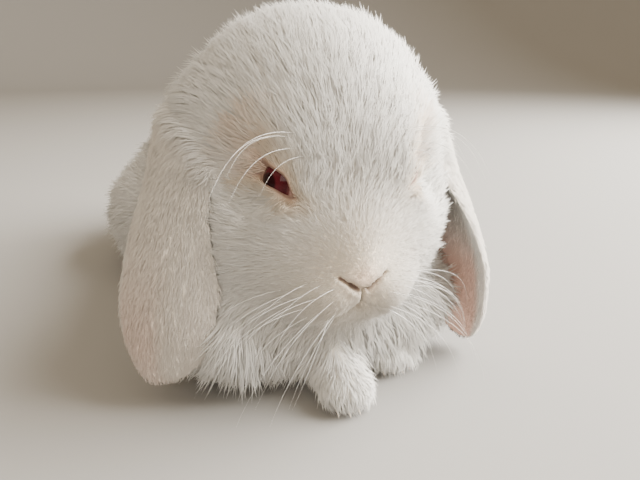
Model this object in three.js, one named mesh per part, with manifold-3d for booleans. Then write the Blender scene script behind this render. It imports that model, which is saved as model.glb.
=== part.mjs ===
// A young mini lop rabbit, crouched with its chin low and its ears hanging beside the cheeks, as a still
// life-size model. Millimetres, +Z up. The rabbit faces -Y, its left side is +X, and it stands on Z = 0.
//
// The flesh is described by fields: each is negative inside and near the distance in millimetres outside.
// Soft unions of ellipsoids and tapered limbs give the outline out to the tips of the coat. A net of
// triangles is laid on each field, and the pieces are parted from each other by thin cuts.

import * as THREE from "three";
import { mergeVertices } from "three/addons/utils/BufferGeometryUtils.js";
import Module from "manifold-3d";

const wasm = await Module();
wasm.setup();

// ---------------------------------------------------------------- driving dimensions

const CUT = 0.35; // width of the cut between two pieces
const BELLY_LIFT = 0.6; // of the belly and chest above the floor, so that the feet carry the weight
const HEAD_CENTRE = [0, -88]; // middle of the braincase, seen from above
const HEAD_YAW = -3; // degrees that the head turns towards the rabbit's left, so this is to its right
const HEAD_WIDTH = 88; // across the cheeks, with the coat
const NOSE_REACH = 45; // from the head's centre forwards to the tip of the nose
const NOSE_HEIGHT = 47.5; // of the nose above the floor
const CROWN_HEIGHT = 130;
const EYE_RADIUS = 7.8;
const EYE_HALF_GAP = 17; // from the middle plane to an eyeball's centre
const BACK_HEIGHT = 100; // of the back above the floor, before its parts are blended
const BODY_WIDTH = 132; // across the haunches
const BELLY_WIDTH = 94; // across the belly, which spreads on the floor
const RUMP_WIDTH = 88; // across the rounded hindquarters, above the haunches
const EAR_WIDTH = 39;
const EAR_THICKNESS = 5;
const TAIL_RADIUS = 14.5;

const LEFT = 1;
const RIGHT = -1;
const SIDES = { left: LEFT, right: RIGHT };

const COLOURS = { coat: 0xe9e4da, ear: 0xe6d3c8, nose: 0xd9a79a, eye: 0x4a0d14 };

// ---------------------------------------------------------------- fields

const radians = (degrees) => (degrees * Math.PI) / 180;

const softMin = (a, b, reach) => {
  const near = Math.max(reach - Math.abs(a - b), 0) / reach;
  return Math.min(a, b) - (near * near * reach) / 4;
};

// The field less a hollow, with an edge rounded over the reach.
const hollowed = (reach, field, hollow) => (p) => -softMin(-field(p), hollow(p), reach);

const softUnion = (reach, ...fields) => (p) =>
  fields.map((field) => field(p)).reduce((a, b) => softMin(a, b, reach));

// An ellipsoid with the given centre and half sizes, turned by Euler degrees.
function ellipsoid(centre, half, turn = [0, 0, 0]) {
  const middle = new THREE.Vector3(...centre);
  const back = new THREE.Quaternion()
    .setFromEuler(new THREE.Euler(...turn.map(radians)))
    .invert();
  const q = new THREE.Vector3();
  return (p) => {
    q.copy(p).sub(middle).applyQuaternion(back);
    const k0 = Math.hypot(q.x / half[0], q.y / half[1], q.z / half[2]);
    const k1 = Math.hypot(q.x / half[0] ** 2, q.y / half[1] ** 2, q.z / half[2] ** 2);
    return k1 < 1e-9 ? -Math.min(...half) : (k0 * (k0 - 1)) / k1;
  };
}

// A rod with round ends from one point to another, whose radius changes evenly.
function taper(from, to, radiusFrom, radiusTo) {
  const start = new THREE.Vector3(...from);
  const along = new THREE.Vector3(...to).sub(start);
  const q = new THREE.Vector3();
  return (p) => {
    q.copy(p).sub(start);
    const share = THREE.MathUtils.clamp(q.dot(along) / along.lengthSq(), 0, 1);
    return q.addScaledVector(along, -share).length() - THREE.MathUtils.lerp(radiusFrom, radiusTo, share);
  };
}

// ---------------------------------------------------------------- the head: side, forward and height

const UP = new THREE.Vector3(0, 0, 1);
const headTurn = new THREE.Quaternion().setFromAxisAngle(UP, radians(HEAD_YAW));
const headBack = headTurn.clone().invert();
const headAxis = new THREE.Vector3(...HEAD_CENTRE, 0);

// A direction or point of the head, given as [side, forward, height].
const headVector = (side, forward, up) => new THREE.Vector3(side, -forward, up).applyQuaternion(headTurn);
const headPoint = (side, forward, height) => headVector(side, forward, height).add(headAxis);

function inHead(field) {
  const q = new THREE.Vector3();
  return (p) => {
    q.copy(p).sub(headAxis).applyQuaternion(headBack);
    q.y = -q.y;
    return field(q);
  };
}

const both = (make) => [make(LEFT), make(RIGHT)];

// Each eyeball's centre, and where the eye looks out: sideways and a little forward.
const eyeCentre = (side) => [side * EYE_HALF_GAP, 25.5, 76];
const EYE_OUT = [0.92, 0.38, 0.08];
const SOCKET_HALF = [9.5, 12, 11];

function socket(side) {
  const away = EYE_RADIUS + SOCKET_HALF[0] - 0.6;
  const centre = eyeCentre(side).map((value, i) => value + EYE_OUT[i] * away * (i === 0 ? side : 1));
  return ellipsoid(centre, SOCKET_HALF, [0, 0, side * 22]);
}

function headField() {
  const half = HEAD_WIDTH / 2;
  const skull = softUnion(
    12,
    ellipsoid([0, -6, CROWN_HEIGHT - 39], [half + 1.5, 38, 39]),
    ellipsoid([0, 11, 84], [32, 29, 34]),
    ...both((side) => ellipsoid([side * (half - 24), 8, 58], [24, 29, 27])),
  );
  const muzzle = softUnion(
    6,
    ellipsoid([0, 23, 56], [21, 20, 21]),
    ...both((side) => ellipsoid([side * 10, NOSE_REACH - 13, NOSE_HEIGHT - 4], [12.5, 11.5, 11.5])),
    ellipsoid([0, NOSE_REACH - 6, NOSE_HEIGHT + 2], [7, 6, 7]),
  );
  const jaw = softUnion(8, ellipsoid([0, 25, 36], [9, 10, 7]), ellipsoid([0, 8, 44], [25, 26, 15]));
  const full = softUnion(7, softUnion(8, skull, muzzle), jaw);
  return inHead(both(socket).reduce((field, hollow) => hollowed(4, field, hollow), full));
}

// ---------------------------------------------------------------- trunk and limbs

const haunch = (side) => ellipsoid([side * (BODY_WIDTH / 2 - 27), 42, 27.5], [27, 47, 26.5], [4, 0, 0]);

function trunkField() {
  return softUnion(
    18,
    ellipsoid([0, 48, BACK_HEIGHT - 50], [35, 60, 50]),
    ellipsoid([0, 62, 38], [RUMP_WIDTH / 2, 44, 37]),
    ellipsoid([0, 0, 50], [38, 58, 48]),
    ellipsoid([0, -22, 30], [BELLY_WIDTH / 2, 62, 29]),
    ellipsoid([0, -42, 56], [35, 42, 44]),
    ellipsoid([0, -70, 42], [36, 34, 36]),
    ellipsoid([0, -58, 82], [33, 36, 33]),
    ellipsoid([0, -90, 24.5], [43, 26, 23]),
    ...both(haunch),
    ellipsoid([42, -93, 18.5], [15, 23, 17.5]),
    ellipsoid([-38, -90, 19.5], [17, 24, 18.5]),
  );
}

// Each forepaw's middle. The right one is drawn in below the chin and a little further forward.
const FOREPAW = { left: [22, -102, 8], right: [-3, -118, 8] };
const HINDFOOT = { left: [39, 8, 8], right: [-40, 5, 8] };

// Four toes in an arc across the front of a foot, which points along -Y and turns out by degrees.
function toes(centre, spread, length, radius, turnOut) {
  const turned = new THREE.Vector3();
  return [-1.5, -0.5, 0.5, 1.5].map((place) => {
    const setBack = Math.abs(place) * 2.2;
    const tip = turned
      .set(place * spread, -length + setBack, 0)
      .applyAxisAngle(UP, radians(turnOut))
      .toArray();
    return ellipsoid(
      [centre[0] + tip[0], centre[1] + tip[1], centre[2] - 1.5],
      [radius, radius * 2.1, radius * 1.15],
      [12, 0, turnOut + place * 5],
    );
  });
}

function forelegField(name) {
  const side = SIDES[name];
  const paw = FOREPAW[name];
  const elbow = [side * 19, -66, 26];
  const wrist = [paw[0] + side * 2, paw[1] + 17, 15];
  return softUnion(
    6,
    taper(elbow, wrist, 11, 10),
    taper(wrist, [paw[0], paw[1] - 2, 7.5], 10, 8.5),
    softUnion(1.5, ...toes(paw, 4.3, 8, 3.6, side * 4)),
  );
}

function hindfootField(name) {
  const side = SIDES[name];
  const foot = HINDFOOT[name];
  const heel = [foot[0] - side * 2, foot[1] + 42, 10];
  return softUnion(
    6,
    taper(heel, [foot[0], foot[1] - 14, 8], 10.5, 10),
    softUnion(1.8, ...toes([foot[0], foot[1] - 20, 8.5], 5.4, 9, 4.4, side * 6)),
  );
}

const tailField = () =>
  softUnion(
    6,
    taper([0, 100, 42], [0, 107, 54], TAIL_RADIUS * 0.8, TAIL_RADIUS),
    taper([0, 107, 54], [0, 106, 66], TAIL_RADIUS, TAIL_RADIUS * 0.8),
  );

// ---------------------------------------------------------------- nets of triangles on the fields

function solidOf(geometry) {
  const bare = new THREE.BufferGeometry().setAttribute("position", geometry.getAttribute("position"));
  if (geometry.index) bare.setIndex(geometry.index);
  const merged = mergeVertices(bare, 1e-4);
  return new wasm.Manifold(
    new wasm.Mesh({
      numProp: 3,
      vertProperties: merged.getAttribute("position").array,
      triVerts: new Uint32Array(merged.index.array),
    }),
  );
}

// Lays an icosahedral net on the field where it equals level. Rays leave a spine, which is a list of points
// inside the body, and crowding above 0 gathers the net towards the spine's first point. Rounds of easing
// then even out the triangles.
function netOn(field, spine, detail, { level = 0, crowding = 0, easing = 0, reach = 130 } = {}) {
  const net = new THREE.IcosahedronGeometry(1, detail);
  net.deleteAttribute("normal");
  net.deleteAttribute("uv");
  const merged = mergeVertices(net, 1e-5);
  const points = spine.map((p) => new THREE.Vector3(...p));
  const curve = new THREE.CatmullRomCurve3(points);
  const axis = points[0].clone().sub(points.at(-1)).normalize();
  const position = merged.getAttribute("position");
  const ray = new THREE.Vector3();
  const side = new THREE.Vector3();
  const at = new THREE.Vector3();
  for (let i = 0; i < position.count; i++) {
    ray.fromBufferAttribute(position, i).normalize();
    if (crowding) {
      const angle = ray.angleTo(axis);
      side.copy(ray).addScaledVector(axis, -ray.dot(axis)).normalize();
      const crowded = angle * (1 - crowding + (crowding * angle) / Math.PI);
      ray.copy(axis).multiplyScalar(Math.cos(crowded)).addScaledVector(side, Math.sin(crowded));
    }
    const root = curve.getPoint((1 - ray.dot(axis)) / 2);
    const inside = (distance) => field(at.copy(root).addScaledVector(ray, distance)) < level;
    let near = 0;
    let far = 1;
    while (inside(far) && far < reach) [near, far] = [far, far + 1];
    for (let halving = 0; halving < 14; halving++) {
      const middle = (near + far) / 2;
      if (inside(middle)) near = middle;
      else far = middle;
    }
    position.setXYZ(i, root.x + ray.x * near, root.y + ray.y * near, root.z + ray.z * near);
  }
  ease(merged, field, easing);
  return merged;
}

const wrap = (...shape) => solidOf(netOn(...shape));

// Draws each corner of a net halfway to the mean of its neighbours and back onto the field, round by round.
function ease(net, field, rounds) {
  const position = net.getAttribute("position");
  const corners = [];
  for (let i = 0; i < position.count; i++) corners.push(new THREE.Vector3().fromBufferAttribute(position, i));
  const neighbours = corners.map(() => new Set());
  for (let i = 0; i < net.index.count; i += 3) {
    const face = [0, 1, 2].map((k) => net.index.getX(i + k));
    for (const a of face) for (const b of face) if (a !== b) neighbours[a].add(b);
  }
  for (let round = 0; round < rounds; round++) {
    const means = neighbours.map((around) => {
      const mean = new THREE.Vector3();
      for (const j of around) mean.addScaledVector(corners[j], 1 / around.size);
      return mean;
    });
    corners.forEach((corner, i) => settle(corner.lerp(means[i], 0.5), field, 0));
  }
  corners.forEach((corner, i) => position.setXYZ(i, corner.x, corner.y, corner.z));
}

// The same net, moved outwards by the given distance.
function swollen(net, field, distance) {
  const copy = net.clone();
  const position = copy.getAttribute("position");
  const corner = new THREE.Vector3();
  for (let i = 0; i < position.count; i++) {
    settle(corner.fromBufferAttribute(position, i), field, distance);
    position.setXYZ(i, corner.x, corner.y, corner.z);
  }
  return copy;
}

// Moves a point along the field's slope until the field equals level there.
function settle(point, field, level) {
  const step = 0.25;
  const probe = new THREE.Vector3();
  const slope = new THREE.Vector3();
  for (let turn = 0; turn < 3; turn++) {
    const value = field(point);
    for (const axis of ["x", "y", "z"]) {
      probe.copy(point)[axis] += step;
      slope[axis] = (field(probe) - value) / step;
    }
    point.addScaledVector(slope, (level - value) / slope.lengthSq());
  }
}

// ---------------------------------------------------------------- cutters

// Everything on one side of a plane, as a very large block whose near face lies on it.
function halfSpace(point, normal) {
  const size = 600;
  const block = new THREE.BoxGeometry(size, size, size).translate(0, 0, size / 2);
  const turn = new THREE.Quaternion().setFromUnitVectors(UP, normal);
  return solidOf(block.applyQuaternion(turn).translate(point.x, point.y, point.z));
}

function ellipsoidSolid(centre, half, turn, detail, extra = 0) {
  const ball = new THREE.IcosahedronGeometry(1, detail)
    .scale(...half.map((h) => h + extra))
    .applyQuaternion(new THREE.Quaternion().setFromEuler(new THREE.Euler(...turn.map(radians))))
    .translate(...centre);
  return solidOf(ball);
}

const above = (height) => halfSpace(new THREE.Vector3(0, 0, height), UP);
const aboveFloor = above(0);

// ---------------------------------------------------------------- ears

// The middle line of each ear, as [side, forward, height] of the head, from its root to its tip.
const EAR_LINE = {
  left: [[24, -9, 90], [37, -7, 94], [45, -2, 85], [50, 3, 67], [53, 8, 48], [55, 11, 29], [57, 16, 6]],
  right: [[24, -9, 90], [36, -5, 94], [43, 3, 86], [49, 9, 68], [54.5, 12, 47], [58, 14, 28], [61, 14, 10]],
};
// Degrees that the blade's outer face turns forwards from straight out, near its root and near its tip.
const EAR_FACING = { left: [30, -10], right: [30, 44] };
// The blade's end is a half round. Its stations stop at this many degrees of a quarter turn, short of 90.
const END_TURN = 82;

function earSolid(name) {
  const side = SIDES[name];
  const line = new THREE.CatmullRomCurve3(
    EAR_LINE[name].map(([out, forward, height]) => headPoint(side * out, forward, height)),
  );
  const bladeStations = 9;
  const endStations = 7;
  const stations = bladeStations + endStations;
  const around = 12;
  const fullAt = 0.62; // where the blade is widest
  const turnRound = 0.74; // where its end starts to round off
  const across = new THREE.Vector3();
  const outward = new THREE.Vector3();
  const vertices = [];
  for (let i = 0; i <= stations; i++) {
    const turn = (Math.max(i - bladeStations, 0) / endStations) * radians(END_TURN);
    const share =
      i <= bladeStations
        ? (i / bladeStations) * turnRound
        : THREE.MathUtils.lerp(turnRound, 1, Math.sin(turn) / Math.sin(radians(END_TURN)));
    const middle = line.getPoint(share);
    const tangent = line.getTangent(share);
    const opened = THREE.MathUtils.smoothstep(share, 0.05, fullAt);
    const rounded = Math.cos(turn);
    const width = THREE.MathUtils.lerp(0.64, 1, opened) * EAR_WIDTH * rounded;
    const thickness = THREE.MathUtils.lerp(15, EAR_THICKNESS, THREE.MathUtils.smoothstep(share, 0, 0.42));
    const cup = 7.5 * opened * rounded;
    const turned = THREE.MathUtils.smoothstep(share, 0.3, 0.8);
    const facing = radians(THREE.MathUtils.lerp(...EAR_FACING[name], turned));
    across.copy(headVector(side * Math.sin(facing), -Math.cos(facing), 0));
    across.addScaledVector(tangent, -across.dot(tangent)).normalize();
    outward.crossVectors(across, tangent).multiplyScalar(-side).normalize();
    for (let j = 0; j < around; j++) {
      const angle = (2 * Math.PI * j) / around;
      const place = Math.cos(angle);
      const bulge = (Math.sin(angle) * thickness * (0.35 + 0.65 * rounded)) / 2;
      const lift = bulge + cup * (0.5 - place * place);
      vertices.push(
        middle
          .clone()
          .addScaledVector(across, (place * width) / 2)
          .addScaledVector(outward, lift),
      );
    }
  }
  vertices.push(line.getPoint(0), line.getPoint(1).addScaledVector(line.getTangent(1), 0.6));
  const [rootPole, tipPole] = [vertices.length - 2, vertices.length - 1];
  const faces = [];
  for (let j = 0; j < around; j++) {
    const next = (j + 1) % around;
    for (let i = 0; i < stations; i++) {
      const [a, b] = [i * around + j, i * around + next];
      faces.push(a, b, b + around, a, b + around, a + around);
    }
    faces.push(rootPole, next, j, tipPole, stations * around + j, stations * around + next);
  }
  if (side === RIGHT) faces.reverse();
  const geometry = new THREE.BufferGeometry().setFromPoints(vertices).setIndex(faces);
  return solidOf(geometry);
}

// ---------------------------------------------------------------- eyes, nose and mouth

function eyeFrame(side) {
  const out = headVector(side * EYE_OUT[0], EYE_OUT[1], EYE_OUT[2]).normalize();
  const corner = headVector(0, 0.6, -0.8);
  corner.addScaledVector(out, -corner.dot(out)).normalize();
  return new THREE.Matrix4()
    .makeBasis(out, corner, new THREE.Vector3().crossVectors(out, corner))
    .setPosition(headPoint(...eyeCentre(side)));
}

const eyeball = (side, extra = 0) =>
  solidOf(new THREE.IcosahedronGeometry(EYE_RADIUS + extra, 2).applyMatrix4(eyeFrame(side)));

// The opening between the lids, which flares outwards through the coat.
function eyeOpening(side) {
  const profile = [
    [0, 0],
    [EYE_RADIUS * 0.72, 0],
    [EYE_RADIUS * 0.76, EYE_RADIUS * 0.75],
    [EYE_RADIUS * 1.1, EYE_RADIUS * 1.8],
    [0, EYE_RADIUS * 1.8],
  ].map(([r, h]) => new THREE.Vector2(r, h));
  const funnel = new THREE.LatheGeometry(profile, 16)
    .rotateZ(-Math.PI / 2)
    .scale(1, 1, 0.8)
    .applyMatrix4(eyeFrame(side));
  return solidOf(funnel);
}

function nosePad(extra) {
  const at = headPoint(0, NOSE_REACH - 3, NOSE_HEIGHT + 2);
  return ellipsoidSolid(at.toArray(), [7.2, 6, 5.6], [0, 0, HEAD_YAW], 2, extra);
}

// A groove of the given half width along points of the head, each [side, forward, up].
function groove(points, halfWidth) {
  const path = new THREE.CatmullRomCurve3(points.map((p) => headPoint(...p)));
  const section = new THREE.Shape().absarc(0, 0, halfWidth, 0, 2 * Math.PI);
  const sweep = { extrudePath: path, steps: 5, curveSegments: 2, bevelEnabled: false };
  return solidOf(new THREE.ExtrudeGeometry(section, sweep));
}

// The cleft runs down from the nose and splits into the two halves of the mouth.
const mouthGrooves = () => {
  const halfWidth = 0.9;
  const top = [0, NOSE_REACH, NOSE_HEIGHT - 3];
  const middle = [0, NOSE_REACH - 2, NOSE_HEIGHT - 6];
  const lip = [0, NOSE_REACH - 6, NOSE_HEIGHT - 9];
  const bend = (side) => [side * 6, NOSE_REACH - 8, NOSE_HEIGHT - 14];
  const corner = (side) => [side * 13, NOSE_REACH - 14, NOSE_HEIGHT - 15];
  return [
    groove([top, middle, lip], halfWidth),
    ...both((side) => groove([lip, bend(side), corner(side)], halfWidth)),
  ];
};

// ---------------------------------------------------------------- the pieces

// The head ends a little outside its own field. The neck is what lies in a tilted egg round their meeting.
const HEAD_SKIRT = 1.5;
const NECK = { centre: [0, -64, 78], half: [46, 37, 52], turn: [-20, 0, 0] };
// A thigh is what lies in an egg that straddles the flank.
const THIGH = { out: 64, back: 42, up: 30, half: [36, 44, 32], turn: [6, 0, 0] };

function makePieces() {
  const head0 = headField();
  const trunk0 = trunkField();
  const whole = softUnion(18, head0, trunk0);
  const OVER = 19; // how far the trunk's net reaches into the head, to be cut off there

  const headSpine = [headPoint(0, 18, 62).toArray(), headPoint(0, -4, 86).toArray()];
  const headNet = (field, level) => wrap(field, headSpine, 8, { level, crowding: 0.25 });
  const headSolid = headNet((p) => Math.max(whole(p), head0(p) - HEAD_SKIRT), 0);
  const trunkSpine = [[0, -88, 46], [0, -26, 62], [0, 56, 54]];
  const trunkShape = (p) => Math.max(whole(p), trunk0(p) - OVER);
  const trunkNet = netOn(trunkShape, trunkSpine, 7, { easing: 12 });
  const headCut = headNet(head0, HEAD_SKIRT + CUT);
  const restSolid = solidOf(trunkNet).intersect(above(BELLY_LIFT)).subtract(headCut);
  const headGrown = headNet((p) => Math.max(whole(p), head0(p) - HEAD_SKIRT), CUT);
  const grown = solidOf(swollen(trunkNet, trunkShape, CUT)).add(headGrown);

  const pieces = new Map();
  let head = headSolid.subtract(nosePad(CUT));
  pieces.set("nose", headSolid.intersect(nosePad(0)));
  for (const cutter of mouthGrooves()) head = head.subtract(cutter);

  const neckEgg = (extra) => ellipsoidSolid(NECK.centre, NECK.half, NECK.turn, 2, extra);
  const neck = restSolid.intersect(neckEgg(0));
  let trunk = restSolid.subtract(neckEgg(CUT));
  for (const [name, side] of Object.entries(SIDES)) {
    const thighCentre = [side * THIGH.out, THIGH.back, THIGH.up];
    const thigh = (extra) => ellipsoidSolid(thighCentre, THIGH.half, THIGH.turn, 2, extra);
    pieces.set("thigh_" + name, trunk.intersect(thigh(0)));
    trunk = trunk.subtract(thigh(CUT));

    const foreleg = wrap(forelegField(name), forelegSpine(name), 4).intersect(aboveFloor);
    pieces.set("foreleg_" + name, foreleg.subtract(grown));
    const foot = wrap(hindfootField(name), hindfootSpine(name), 4).intersect(aboveFloor);
    pieces.set("hind_foot_" + name, foot.subtract(grown));

    pieces.set("ear_" + name, earSolid(name).subtract(grown));
    head = head.subtract(eyeOpening(side)).subtract(eyeball(side, CUT));
    pieces.set("eye_" + name, eyeball(side));
  }
  pieces.set("tail", wrap(tailField(), [[0, 106, 62], [0, 104, 48]], 2).subtract(grown));
  return pieces.set("head", head).set("neck", neck).set("trunk", trunk);
}

function forelegSpine(name) {
  const [x, y] = FOREPAW[name];
  return [[x, y, 7], [x + SIDES[name] * 3, y + 16, 13], [SIDES[name] * 19, -66, 26]];
}

function hindfootSpine(name) {
  const [x, y] = HINDFOOT[name];
  return [[x, y - 20, 8], [x - SIDES[name] * 1.5, y + 38, 9]];
}

// ---------------------------------------------------------------- the scene graph

const finish = (color, roughness) => new THREE.MeshStandardMaterial({ color, roughness, metalness: 0 });

function materialOf(name) {
  if (name.startsWith("eye")) return finish(COLOURS.eye, 0.08);
  if (name.startsWith("ear")) return finish(COLOURS.ear, 0.8);
  if (name === "nose") return finish(COLOURS.nose, 0.6);
  return finish(COLOURS.coat, 0.9);
}

function meshOf(name, solid) {
  const { numProp, numVert, vertProperties, triVerts } = solid.getMesh();
  const corners = new Float32Array(numVert * 3);
  for (let i = 0; i < numVert; i++) corners.set(vertProperties.subarray(i * numProp, i * numProp + 3), i * 3);
  const geometry = new THREE.BufferGeometry()
    .setAttribute("position", new THREE.BufferAttribute(corners, 3))
    .setIndex(new THREE.BufferAttribute(triVerts, 1));
  geometry.computeVertexNormals();
  const mesh = new THREE.Mesh(geometry, materialOf(name));
  mesh.name = name;
  return mesh;
}

const rabbit = new THREE.Group();
rabbit.name = "rabbit";
for (const [name, solid] of makePieces()) rabbit.add(meshOf(name, solid));

// The origin is the middle of the footprint, on the floor.
const box = new THREE.Box3().setFromObject(rabbit);
const middle = box.getCenter(new THREE.Vector3());
rabbit.position.set(-middle.x, -middle.y, -box.min.z);

export default rabbit;
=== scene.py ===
"""A life-size young lop rabbit in a crouch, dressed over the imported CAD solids.

One skin stands for all the solids of flesh. Locks of fur, whiskers, claws and eyes are pieces of
their own. Shapes are worked out as arrays in millimetres, and make_mesh() turns them to metres.
"""

import math

import bmesh
import bpy
import numpy as np
import openvdb
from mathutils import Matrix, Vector
from mathutils.bvhtree import BVHTree
from mathutils.kdtree import KDTree


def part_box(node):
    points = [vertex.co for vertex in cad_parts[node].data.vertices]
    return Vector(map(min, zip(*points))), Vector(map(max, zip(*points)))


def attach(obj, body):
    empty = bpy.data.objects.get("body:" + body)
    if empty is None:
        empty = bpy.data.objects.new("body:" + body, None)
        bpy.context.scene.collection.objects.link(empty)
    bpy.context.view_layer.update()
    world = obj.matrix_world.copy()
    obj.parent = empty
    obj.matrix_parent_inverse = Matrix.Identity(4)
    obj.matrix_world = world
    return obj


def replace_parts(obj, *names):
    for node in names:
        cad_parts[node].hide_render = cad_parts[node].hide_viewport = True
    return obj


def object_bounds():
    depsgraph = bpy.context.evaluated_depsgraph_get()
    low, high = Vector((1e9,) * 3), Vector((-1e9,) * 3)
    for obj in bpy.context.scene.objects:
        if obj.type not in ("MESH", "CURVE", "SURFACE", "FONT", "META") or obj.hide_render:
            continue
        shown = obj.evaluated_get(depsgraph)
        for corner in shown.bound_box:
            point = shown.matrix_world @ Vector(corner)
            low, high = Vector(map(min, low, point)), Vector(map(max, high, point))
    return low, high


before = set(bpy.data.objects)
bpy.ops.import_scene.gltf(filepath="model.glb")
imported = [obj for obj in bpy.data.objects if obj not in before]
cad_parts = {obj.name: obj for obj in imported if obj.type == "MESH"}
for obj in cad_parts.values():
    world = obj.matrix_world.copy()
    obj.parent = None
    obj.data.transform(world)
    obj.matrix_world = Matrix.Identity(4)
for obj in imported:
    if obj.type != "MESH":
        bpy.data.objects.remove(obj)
cad_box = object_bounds()

MM = 0.001
SIDES = {"left": 1, "right": -1}
EYES = ["eye_left", "eye_right"]
FLESH = [name for name in sorted(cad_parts) if name not in EYES]
UP = np.array([0.0, 0.0, 1.0])
random = np.random.default_rng(11)


# -------- arrays and small mathematics


def unit(v):
    return v / np.maximum(np.linalg.norm(v, axis=-1, keepdims=True), 1e-9)


def dot(a, b):
    return np.sum(a * b, axis=-1)


def tangent(v, n):
    """v without its part along the unit normals n."""
    return v - n * dot(v, n)[..., None]


def step(x, low, high):
    """0 below low, 1 above high, smooth between."""
    t = np.clip((x - low) / (high - low), 0, 1)
    return t * t * (3 - 2 * t)


def bell(x, width):
    return np.exp(-((x / width) ** 2))


def by(table, key):
    """A value read off a table of (key, value) pairs."""
    keys, values = zip(*table)
    return np.interp(key, keys, values)


def halves(quads):
    """The two triangles of each quad."""
    return np.concatenate([quads[:, [0, 1, 2]], quads[:, [0, 2, 3]]])


def ring_quads(rows, columns):
    """The quads between the rows of a net whose rows are closed rings of points."""
    grid = np.arange(rows * columns).reshape(rows, columns)
    after = np.roll(grid, -1, axis=1)
    return np.stack([grid[:-1], after[:-1], after[1:], grid[1:]], axis=-1).reshape(-1, 4)


def fan(middle, ring):
    """Triangles from one point to the sides of a closed ring."""
    return np.stack([np.full(len(ring), middle), ring, np.roll(ring, -1)], axis=1)


def circle(turns, first, second):
    """Directions at some turns from the first direction to the second."""
    return first * np.cos(turns)[:, None] + second * np.sin(turns)[:, None]


def face_tree(points, faces):
    return BVHTree.FromPolygons([Vector(p) for p in points], faces.tolist())


def point_tree(points):
    tree = KDTree(len(points))
    for k, point in enumerate(points):
        tree.insert(Vector(point), k)
    tree.balance()
    return tree


# -------- meshes


def write(data, key, values):
    data.foreach_set(key, values.astype(np.float32).ravel())


def make_mesh(name, points, faces):
    """A mesh in metres from points in mm and faces that all have the same number of corners."""
    mesh = bpy.data.meshes.new(name)
    corners = faces.shape[1]
    mesh.vertices.add(len(points))
    write(mesh.vertices, "co", points * MM)
    mesh.loops.add(faces.size)
    mesh.loops.foreach_set("vertex_index", faces.astype(np.int32).ravel())
    mesh.polygons.add(len(faces))
    starts = np.arange(0, faces.size, corners, dtype=np.int32)
    mesh.polygons.foreach_set("loop_start", starts)
    mesh.polygons.foreach_set("use_smooth", np.ones(len(faces), bool))
    mesh.update(calc_edges=True)
    return mesh


def set_normals(mesh, normals):
    """Normals of its own at each point, for fur that is lit as softly as the form under it."""
    layer = mesh.attributes.new("custom_normal", "FLOAT_VECTOR", "POINT")
    write(layer.data, "vector", normals)


def set_marks(mesh, marks):
    """Four numbers at each point, which the materials read as colour and alpha."""
    write(mesh.attributes.new("marks", "FLOAT_COLOR", "POINT").data, "color", marks)


def add_object(name, data):
    thing = bpy.data.objects.new(name, data)
    bpy.context.scene.collection.objects.link(thing)
    return thing


def make_piece(name, mesh, material):
    piece = add_object(name, mesh)
    mesh.materials.append(material)
    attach(piece, "root")
    return piece


def node_surface(name):
    """A CAD node's points, outward normals and triangles."""
    bm = bmesh.new()
    bm.from_mesh(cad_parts[name].data)
    bmesh.ops.remove_doubles(bm, verts=bm.verts, dist=1e-6)
    bmesh.ops.triangulate(bm, faces=bm.faces)
    bm.normal_update()
    points = np.array([v.co for v in bm.verts]) / MM
    normals = np.array([v.normal for v in bm.verts])
    faces = np.array([[v.index for v in f.verts] for f in bm.faces])
    bm.free()
    return points, normals, faces


class Net:
    """A triangle net with its edges and normals, made for smoothing fields over it."""

    def __init__(self, points, faces):
        self.points, self.faces = points, faces
        pairs = np.concatenate([faces[:, [0, 1]], faces[:, [1, 2]], faces[:, [2, 0]]])
        pairs = np.unique(np.sort(pairs, axis=1), axis=0)
        self.a, self.b = pairs.T
        ends = np.concatenate([self.a, self.b])
        self.degree = np.maximum(np.bincount(ends, minlength=len(points)), 1)
        self.update()

    def update(self):
        p, f = self.points, self.faces
        cross = np.cross(p[f[:, 1]] - p[f[:, 0]], p[f[:, 2]] - p[f[:, 0]])
        self.areas = np.linalg.norm(cross, axis=1) / 2
        self.normals = unit(self.gather(cross))

    def gather(self, per_face):
        n = len(self.points)
        cols = [
            sum(np.bincount(self.faces[:, k], per_face[:, c], n) for k in range(3))
            for c in range(per_face.shape[1])
        ]
        return np.stack(cols, axis=1)

    def mean(self, values):
        """The mean of each point's neighbours."""
        n = len(self.points)
        flat = values.reshape(n, -1)
        cols = [
            np.bincount(self.a, flat[self.b, c], n) + np.bincount(self.b, flat[self.a, c], n)
            for c in range(flat.shape[1])
        ]
        return (np.stack(cols, axis=1) / self.degree[:, None]).reshape(values.shape)

    def blur(self, values, rounds):
        for _ in range(rounds):
            values = 0.5 * values + 0.5 * self.mean(values)
        return values

    def fair(self, rounds, amount):
        """Smooths the points without shrinking them; amount is 0 to 1 at each point."""
        shrink, grow = 0.5, -0.53
        for _ in range(rounds):
            for push in (shrink, grow):
                shift = self.mean(self.points) - self.points
                self.points = self.points + shift * (push * amount)[:, None]
        self.update()


# -------- the head's own frame


def node_middle(name):
    low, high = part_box(name)
    return np.array((low + high) / 2) / MM


EYE = {side: node_middle("eye_" + side) for side in SIDES}
EYE_RADIUS = float((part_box("eye_left")[1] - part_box("eye_left")[0]).z) / 2 / MM
NOSE = node_middle("nose")
BETWEEN_EYES = (EYE["left"] + EYE["right"]) / 2
FORWARD = unit((NOSE - BETWEEN_EYES) * np.array([1, 1, 0]))
LEFT = np.cross(UP, FORWARD)


def head_place(side, forward, height):
    """A point in the head's frame: mm to its left, forward and up from between the eyes."""
    return BETWEEN_EYES + LEFT * side + FORWARD * forward + UP * height


# The eye looks this much out of the head, forward and up, and its front corner lies this much
# forward, down and in.
EYE_OUT, EYE_AHEAD, EYE_UP = 0.92, 0.38, 0.08
CORNER_AHEAD, CORNER_DOWN, CORNER_IN = 0.70, 0.70, 0.1


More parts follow.
